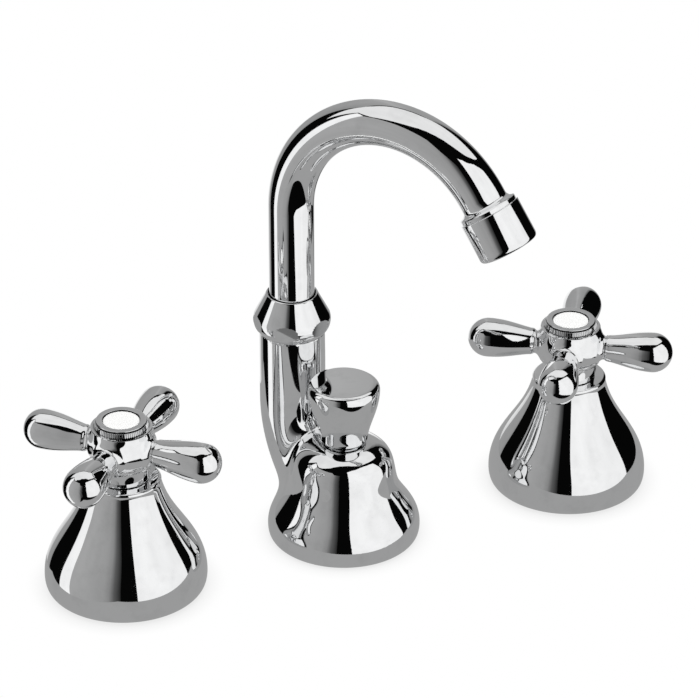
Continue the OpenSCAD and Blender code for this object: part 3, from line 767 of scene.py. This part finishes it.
class MIXER_OT_collar_nut(bpy.types.Operator):
    """Turns the collar nut and cuts its wrench flats"""

    bl_idname = "mixer.collar_nut"
    bl_label = "Collar Nut"

    def execute(self, context):
        low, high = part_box("collar_nut")
        base, top = low[2] / MM, high[2] / MM
        axis = Vector(joint("spout_swivel")["pos_m"])
        outline = Outline(13.2, base)
        outline.arc((9.0, base + 5), 6.4, -46, 26, 14)
        outline.line(10.4, top - 0.5)
        outline.curve((10.2, top - 0.1), (10.0, top), (9.8, top), 4)
        outline.line(9.55, top - 0.15).line(9.45, top - 0.6).line(9.45, top - 5).line(12, top - 5.5)
        outline.line(12.0, base)
        nut = turned("collar_nut_chrome", outline)
        select_only(nut)
        bpy.ops.object.mode_set(mode="EDIT")
        for k in range(NUT_FLATS):
            angle = math.radians(360 / NUT_FLATS * k + FLAT_TURN)
            normal = (math.cos(angle), math.sin(angle), 0)
            bpy.ops.mesh.select_all(action="SELECT")
            bpy.ops.mesh.bisect(plane_co=tuple(FLAT_DISTANCE * MM * c for c in normal), plane_no=normal,
                                use_fill=True, clear_outer=True)
            bpy.ops.mesh.region_to_loop()
            bpy.ops.mesh.mark_sharp()
        bpy.ops.object.mode_set(mode="OBJECT")
        place(nut, Matrix.Translation((axis.x, axis.y, 0)))
        finish_piece(nut, "body", "collar_nut", chrome("Nut chrome"))
        return {"FINISHED"}


def outlet_frame():
    """Matrix of the end of the arch, Z along the outflow, the tube's axis and the way of the arch."""
    axis = Vector(joint("spout_swivel")["pos_m"])
    way = Vector((math.cos(ARCH_WAY), math.sin(ARCH_WAY), 0))
    end = Vector((axis.x, axis.y, ARCH_START)) + way * ARCH_RADIUS * (1 - math.cos(ARCH_ANGLE))
    end.z += ARCH_RADIUS * math.sin(ARCH_ANGLE)
    flow = (way * math.sin(ARCH_ANGLE) + Vector((0, 0, math.cos(ARCH_ANGLE)))).normalized()
    side = way.cross(Vector((0, 0, 1))).normalized()
    matrix = Matrix.Identity(4)
    matrix.col[0].xyz = side.cross(flow) * -1
    matrix.col[1].xyz = side
    matrix.col[2].xyz = flow
    matrix.col[3].xyz = end
    return matrix, axis, way


class MIXER_OT_swivel_spout(bpy.types.Operator):
    """Bends the spout tube and flares its end"""

    bl_idname = "mixer.swivel_spout"
    bl_label = "Swivel Spout"

    def execute(self, context):
        matrix, axis, way = outlet_frame()
        tube = sizes().tube_radius
        deselect_all()
        bpy.ops.mesh.primitive_circle_add(vertices=96, radius=tube, fill_type="NGON",
                                          location=(axis.x, axis.y, TUBE_FOOT))
        piece = bpy.context.object
        piece.name = "spout_tube"
        bpy.ops.object.mode_set(mode="EDIT")
        bpy.ops.mesh.select_all(action="SELECT")
        bpy.ops.mesh.extrude_region_move(
            TRANSFORM_OT_translate={"value": (0, 0, ARCH_START - TUBE_FOOT)})
        pivot = Vector((axis.x, axis.y, ARCH_START)) + way * ARCH_RADIUS
        turn_axis = way.cross(Vector((0, 0, 1)))
        bpy.ops.mesh.spin(steps=72, angle=ARCH_ANGLE, center=pivot, axis=turn_axis)
        flow = matrix.col[2].xyz
        for length, grow in FLARE:
            bpy.ops.mesh.extrude_region_move(TRANSFORM_OT_translate={"value": flow * length * MM})
            bpy.ops.transform.resize(value=(grow, grow, grow))
        bpy.ops.object.mode_set(mode="OBJECT")
        place(piece, piece.matrix_world.copy())
        tidy_mesh(piece)
        finish_piece(piece, "spout", "swivel_spout", chrome("Tube chrome"))
        return {"FINISHED"}


class MIXER_OT_aerator_shell(bpy.types.Operator):
    """Turns the aerator shell"""

    bl_idname = "mixer.aerator_shell"
    bl_label = "Aerator Shell"

    def execute(self, context):
        matrix = outlet_frame()[0]
        begin, length, r = 5.5, 16.5, 12.0
        outline = Outline(10.5, begin)
        outline.line(r - 0.35, begin)
        outline.arc((r - 0.35, begin + 0.35), 0.35, -90, 0, 4)
        outline.line(r, begin + length - 2.2)
        outline.curve((r, begin + length - 0.9), (r - 0.5, begin + length), (r - 1.6, begin + length), 8)
        outline.curve((r - 2.2, begin + length), (r - 2.5, begin + length - 0.3),
                      (r - 2.5, begin + length - 1), 6)
        outline.line(r - 2.5, begin + length - 2.4).line(r - 1.6, begin + length - 2.6)
        outline.line(r - 1.6, begin + 0.6)
        shell = turned("aerator_chrome_shell", outline, steps=128)
        place(shell, matrix)
        finish_piece(shell, "spout", "aerator_shell", chrome("Tube chrome"))
        return {"FINISHED"}


class MIXER_OT_lift_knob(bpy.types.Operator):
    """Turns the lift knob"""

    bl_idname = "mixer.lift_knob"
    bl_label = "Lift Knob"

    def execute(self, context):
        base, top = (corner[2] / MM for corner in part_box("lift_knob"))
        outline = Outline(0, base).line(7.2, base).line(7.4, base + 0.15).line(7.4, base + 0.8)
        outline.line(8.6, base + 0.8)
        outline.curve((9.2, base + 0.8), (9.5, base + 1.1), (9.55, base + 1.9), 8)
        outline.curve((10.15, base + 8.5), (13.9, base + 14.0), (14.3, base + 22.6), 40)
        outline.curve((14.35, top - 1.5), (13.4, top - 0.02), (11.4, top), 16)
        outline.line(0, top)
        knob = turned("knob_chrome", outline, closed=False)
        place(knob, Matrix.Identity(4))
        finish_piece(knob, "pop_up_lift", "lift_knob", chrome("Knob chrome"))
        return {"FINISHED"}


# Finish of each slot of the fittings: name, colour, worn colour, metallic, patch size, grain size,
# share of the lathe rings, lowest and highest roughness, depth of the grain
FITTINGS = {
    "brass": ("Machined brass", (0.74, 0.54, 0.24), (0.52, 0.36, 0.15, 1), 1.0, 110.0, 1400.0, 1.2,
              0.18, 0.42, 0.000012),
    "copper": ("Drawn copper", (0.84, 0.44, 0.28), (0.46, 0.22, 0.13, 1), 1.0, 90.0, 900.0, 0.2,
               0.16, 0.45, 0.000010),
    "stainless": ("Plain steel", (0.64, 0.64, 0.63), (0.48, 0.48, 0.47, 1), 1.0, 150.0, 2200.0, 0.8,
                  0.20, 0.40, 0.000008),
    "rubber": ("Black rubber", (0.022, 0.022, 0.023), (0.055, 0.055, 0.055, 1), 0.0, 200.0, 2600.0, 0.1,
               0.50, 0.85, 0.000030),
    "ceramic": ("Lapped ceramic", (0.87, 0.86, 0.81), (0.80, 0.79, 0.74, 1), 0.0, 400.0, 3000.0, 0.0,
                0.08, 0.25, 0.000003),
    "white_plastic": ("White acetal", (0.86, 0.86, 0.84), (0.79, 0.78, 0.75, 1), 0.0, 220.0, 1800.0, 0.1,
                      0.30, 0.55, 0.000015),
    "grey_plastic": ("Grey nozzle plastic", (0.50, 0.51, 0.52), (0.40, 0.41, 0.41, 1), 0.0, 260.0, 1800.0,
                     0.1, 0.32, 0.58, 0.000015),
}


class MIXER_OT_fittings(bpy.types.Operator):
    """Gives the carried-over fittings their finishes"""

    bl_idname = "mixer.fittings"
    bl_label = "Fittings"

    def execute(self, context):
        slots = {entry["node"]: entry["material_slot"] for entry in frame["record"]["subparts"]}
        for node, piece in frame["nodes"].items():
            entry = FITTINGS.get(slots[node])
            if entry is None:
                continue
            name, colour, worn, metallic, patch, grain, rings, smooth, rough, depth = entry
            material = bpy.data.materials.get(name)
            if material is None:
                material = base_material(
                    name, colour, metallic, wear_group(), Worn_Colour=worn, Patch_Size=patch,
                    Grain_Size=grain, Ring_Share=rings, Lowest_Roughness=smooth, Highest_Roughness=rough,
                    Depth=depth)
            piece.data.materials.clear()
            piece.data.materials.append(material)
        return {"FINISHED"}


# Light tent, a sphere of sheets. Each sheet is a row of seams: azimuth and elevation of the seam's foot,
# the same of its head, and its brightness, in degrees seen from the tent's middle.
TENT_RADIUS = 0.9
GLOW_SHARE = 0.98  # the rear glow hangs just inside the rear sheet
SHEET_ROWS, SPAN_COLUMNS = 16, 6
TENT_CENTRE = (0.0176, 0.0335, 0.06)
TENT_SHEETS = {
    "front_sheet": (
        (-13, -23, -15, 50, 1.03), (0, -28, 0, 53, 1.03), (30, -32, 30, 53, 1.02), (45, -33, 45, 51, 1.0),
        (60, -36, 60, 45, 0.99), (68, -38, 68, 40, 0.97)),
    "side_strip": ((-117, -60, -116, 43, 1.04), (-105, -60, -110, 42, 1.04), (-95, -60, -103, 39, 1.04)),
    "side_sheet": (
        (-95, -60, -103, 38, 0.42), (-75, -60, -76, 41, 0.39), (-55, -60, -55, 42, 0.35),
        (-48, -40, -48, 34, 0.28), (-42, -26, -42, 33, 0.11), (-34, -20, -34, 33, 0.02)),
    "rear_sheet": (
        (120, -30, 124, 50, 0.12), (128, -30, 130, 53, 0.36), (150, -30, 150, 54, 0.41),
        (157, -30, 157, 54, 0.46), (164, -30, 164, 54, 0.38), (185, -30, 185, 54, 0.36),
        (207, -30, 207, 52, 0.33), (213, -30, 211, 50, 0.27)),
    "rear_glow": (
        (138, -60, 138, -6, 0.7), (148, -60, 148, 6, 1.1), (165, -60, 165, 9, 1.1), (175, -60, 175, 3, 0.95),
        (185, -60, 185, -6, 0.8), (198, -60, 198, -18, 0.6)),
    "roof": (
        (-180, 57, -180, 90, 0.9), (-165, 56, -165, 90, 0.9), (-150, 50, -150, 90, 0.9),
        (-138, 38, -138, 90, 0.9), (-127, 26, -127, 90, 0.9), (-118, 45, -118, 90, 0.9),
        (-97, 41, -97, 90, 0.9), (-90, 44, -90, 90, 0.9), (-75, 54, -75, 90, 0.9), (-60, 65, -60, 90, 0.9),
        (-45, 70, -45, 90, 0.9), (-20, 72, -20, 90, 0.9), (0, 71, 0, 90, 0.9), (20, 66, 20, 90, 0.9),
        (40, 59, 40, 90, 0.9), (60, 53, 60, 90, 0.9), (75, 46, 75, 90, 0.9), (90, 38, 90, 90, 0.9),
        (105, 43, 105, 90, 0.9), (120, 48, 120, 90, 0.9), (135, 57, 135, 90, 0.9), (150, 58, 150, 90, 0.9),
        (180, 57, 180, 90, 0.9)),
}
# Grey table of the reflections: its ends, its back, its slanting front edge (depth at x = 0 and slope),
# and the corner missing behind the left valve
TABLE_ENDS = (-0.15, 0.22)
TABLE_BACK = 0.13
TABLE_FRONT = (-0.083, 0.075)
TABLE_CORNER = (-0.09, 0.036)
TABLE_GREY = 0.37


def sheet_material():
    """Glow of the tent's sheets, from their own brightness."""
    material = bpy.data.materials.get("Tent sheets")
    if material:
        return material
    material = bpy.data.materials.new("Tent sheets")
    material.use_nodes = True
    nodes, links = material.node_tree.nodes, material.node_tree.links
    nodes.clear()
    level = nodes.new("ShaderNodeAttribute")
    level.attribute_name = "brightness"
    glow = nodes.new("ShaderNodeEmission")
    coords = nodes.new("ShaderNodeTexCoord")
    cloth = add_node(nodes, "ShaderNodeTexNoise", Scale=3.0, Detail=4)
    folds = add_node(nodes, "ShaderNodeMapRange", From_Min=0.3, From_Max=0.7, To_Min=0.93, To_Max=1.03)
    links.new(coords.outputs["Object"], cloth.inputs["Vector"])
    links.new(cloth.outputs["Fac"], folds.inputs["Value"])
    links.new(maths(nodes, links, "MULTIPLY", level.outputs["Fac"], folds.outputs["Result"]),
              glow.inputs["Strength"])
    out = nodes.new("ShaderNodeOutputMaterial")
    links.new(glow.outputs["Emission"], out.inputs["Surface"])
    return material


def hang_sheet(name, seams):
    """Hangs one sheet of the tent: a grid bent onto the tent's sphere."""
    spans = len(seams) - 1
    radius = TENT_RADIUS * (GLOW_SHARE if name == "rear_glow" else 1)
    deselect_all()
    bpy.ops.mesh.primitive_grid_add(x_subdivisions=SPAN_COLUMNS * spans, y_subdivisions=SHEET_ROWS, size=1)
    sheet = bpy.context.object
    sheet.name = name
    levels = []
    for vertex in sheet.data.vertices:
        u, v = (vertex.co.x + 0.5) * spans, vertex.co.y + 0.5
        k = min(int(u + 1e-6), spans - 1)
        low, high = seams[k], seams[k + 1]
        foot_az, foot_el, head_az, head_el, level = (p + (q - p) * (u - k) for p, q in zip(low, high))
        azimuth = math.radians(foot_az + (head_az - foot_az) * v)
        elevation = math.radians(foot_el + (head_el - foot_el) * v)
        out = direction(azimuth, elevation)
        vertex.co = Vector(TENT_CENTRE) + out * radius
        levels.append(level)
    sheet.data.attributes.new("brightness", "FLOAT", "POINT").data.foreach_set("value", levels)
    sheet.data.materials.append(sheet_material())
    sheet.visible_camera = False
    sheet.visible_shadow = False


def floor_material():
    """Floor: white with a soft contact shadow; in the chrome's reflections a small grey table."""
    material = bpy.data.materials.new("Pale floor")
    material.use_nodes = True
    nodes, links = material.node_tree.nodes, material.node_tree.links
    nodes.clear()
    path = nodes.new("ShaderNodeLightPath")
    white = nodes.new("ShaderNodeEmission")
    shade = add_node(nodes, "ShaderNodeAmbientOcclusion", Distance=0.012)
    shade.samples = 8
    tone = add_node(nodes, "ShaderNodeMapRange", From_Min=0.35, From_Max=0.85, To_Min=0.82)
    links.new(shade.outputs["AO"], tone.inputs["Value"])
    links.new(tone.outputs["Result"], white.inputs["Strength"])
    white.inputs["Color"].default_value = (*colours().floor, 1)
    grey = add_node(nodes, "ShaderNodeEmission", Strength=TABLE_GREY)
    clear = nodes.new("ShaderNodeBsdfTransparent")
    coords = nodes.new("ShaderNodeTexCoord")
    split = nodes.new("ShaderNodeSeparateXYZ")
    links.new(coords.outputs["Object"], split.inputs["Vector"])
    x, y = split.outputs["X"], split.outputs["Y"]
    front = maths(nodes, links, "SUBTRACT", y, maths(nodes, links, "MULTIPLY", x, TABLE_FRONT[1]))
    corner = maths(nodes, links, "MULTIPLY", maths(nodes, links, "LESS_THAN", x, TABLE_CORNER[0]),
                   maths(nodes, links, "GREATER_THAN", y, TABLE_CORNER[1]))
    inside = maths(nodes, links, "SUBTRACT", 1.0, corner)
    for kind, value, edge in (("GREATER_THAN", x, TABLE_ENDS[0]), ("LESS_THAN", x, TABLE_ENDS[1]),
                              ("GREATER_THAN", front, TABLE_FRONT[0]), ("LESS_THAN", y, TABLE_BACK)):
        inside = maths(nodes, links, "MULTIPLY", inside, maths(nodes, links, kind, value, edge))
    table = nodes.new("ShaderNodeMixShader")
    links.new(inside, table.inputs["Fac"])
    links.new(clear.outputs["BSDF"], table.inputs[1])
    links.new(grey.outputs["Emission"], table.inputs[2])
    seen = nodes.new("ShaderNodeMixShader")
    links.new(path.outputs["Is Camera Ray"], seen.inputs["Fac"])
    links.new(table.outputs["Shader"], seen.inputs[1])
    links.new(white.outputs["Emission"], seen.inputs[2])
    out = nodes.new("ShaderNodeOutputMaterial")
    links.new(seen.outputs["Shader"], out.inputs["Surface"])
    return material


def studio_world():
    """White to the camera, dark between the tent's sheets."""
    world = bpy.data.worlds.new("Studio")
    world.use_nodes = True
    nodes, links = world.node_tree.nodes, world.node_tree.links
    path = nodes.new("ShaderNodeLightPath")
    level = add_node(nodes, "ShaderNodeMapRange", To_Min=0.002)
    links.new(path.outputs["Is Camera Ray"], level.inputs["Value"])
    links.new(level.outputs["Result"], nodes["Background"].inputs["Strength"])
    nodes["Background"].inputs["Color"].default_value = (1, 1, 1, 1)
    return world


class MIXER_OT_studio(bpy.types.Operator):
    """Sets the floor, the light tent and the camera"""

    bl_idname = "mixer.studio"
    bl_label = "Studio"

    def execute(self, context):
        scene = context.scene
        scene.view_settings.view_transform = "Standard"
        scene.world = studio_world()
        deselect_all()
        bpy.ops.mesh.primitive_plane_add(size=FLOOR_SIZE, location=(0, 0, 0))
        floor = context.object
        floor.name = "studio_floor"
        floor.data.materials.append(floor_material())
        for name, seams in TENT_SHEETS.items():
            hang_sheet(name, seams)
        deselect_all()
        bpy.ops.object.light_add(type="AREA", location=LAMP_PLACE)
        lamp = context.object
        lamp.name = "overhead_lamp"
        lamp.data.size = LAMP_SIZE
        lamp.data.energy = LAMP_POWER
        lamp.visible_glossy = False
        back = direction(CAMERA_AZIMUTH, CAMERA_ELEVATION)
        bpy.ops.object.camera_add(location=Vector(CAMERA_AIM) + back * CAMERA_DISTANCE,
                                  rotation=(math.pi / 2 - CAMERA_ELEVATION, 0, CAMERA_AZIMUTH))
        camera = context.object
        camera.data.sensor_width = CAMERA_SENSOR
        camera.data.lens = CAMERA_LENS
        camera.data.clip_end = 50
        scene.camera = camera
        return {"FINISHED"}


STEPS = (
    MIXER_OT_bells, MIXER_OT_handles, MIXER_OT_index_rings, MIXER_OT_index_discs, MIXER_OT_spout_body,
    MIXER_OT_collar_nut, MIXER_OT_swivel_spout, MIXER_OT_aerator_shell, MIXER_OT_lift_knob,
    MIXER_OT_fittings, MIXER_OT_studio,
)


class MIXER_PT_panel(bpy.types.Panel):
    """Lists the steps and settings"""

    bl_label = "Basin Mixer"
    bl_idname = "MIXER_PT_panel"
    bl_space_type = "VIEW_3D"
    bl_region_type = "UI"
    bl_category = "Mixer"

    def draw(self, context):
        for group in (context.scene.mixer_sizes, context.scene.mixer_colours):
            for name in group.__annotations__:
                self.layout.prop(group, name)
        for step in STEPS:
            self.layout.operator(step.bl_idname)


CLASSES = (MixerSizes, MixerColours, *STEPS, MIXER_PT_panel)


def register():
    for cls in CLASSES:
        bpy.utils.register_class(cls)
    bpy.types.Scene.mixer_sizes = bpy.props.PointerProperty(type=MixerSizes)
    bpy.types.Scene.mixer_colours = bpy.props.PointerProperty(type=MixerColours)


def unregister():
    del bpy.types.Scene.mixer_colours
    del bpy.types.Scene.mixer_sizes
    for cls in reversed(CLASSES):
        bpy.utils.unregister_class(cls)


def main():
    """Registers the add-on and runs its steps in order."""
    register()
    for step in STEPS:
        family, name = step.bl_idname.split(".")
        getattr(getattr(bpy.ops, family), name)()


if __name__ == "__main__":
    main()
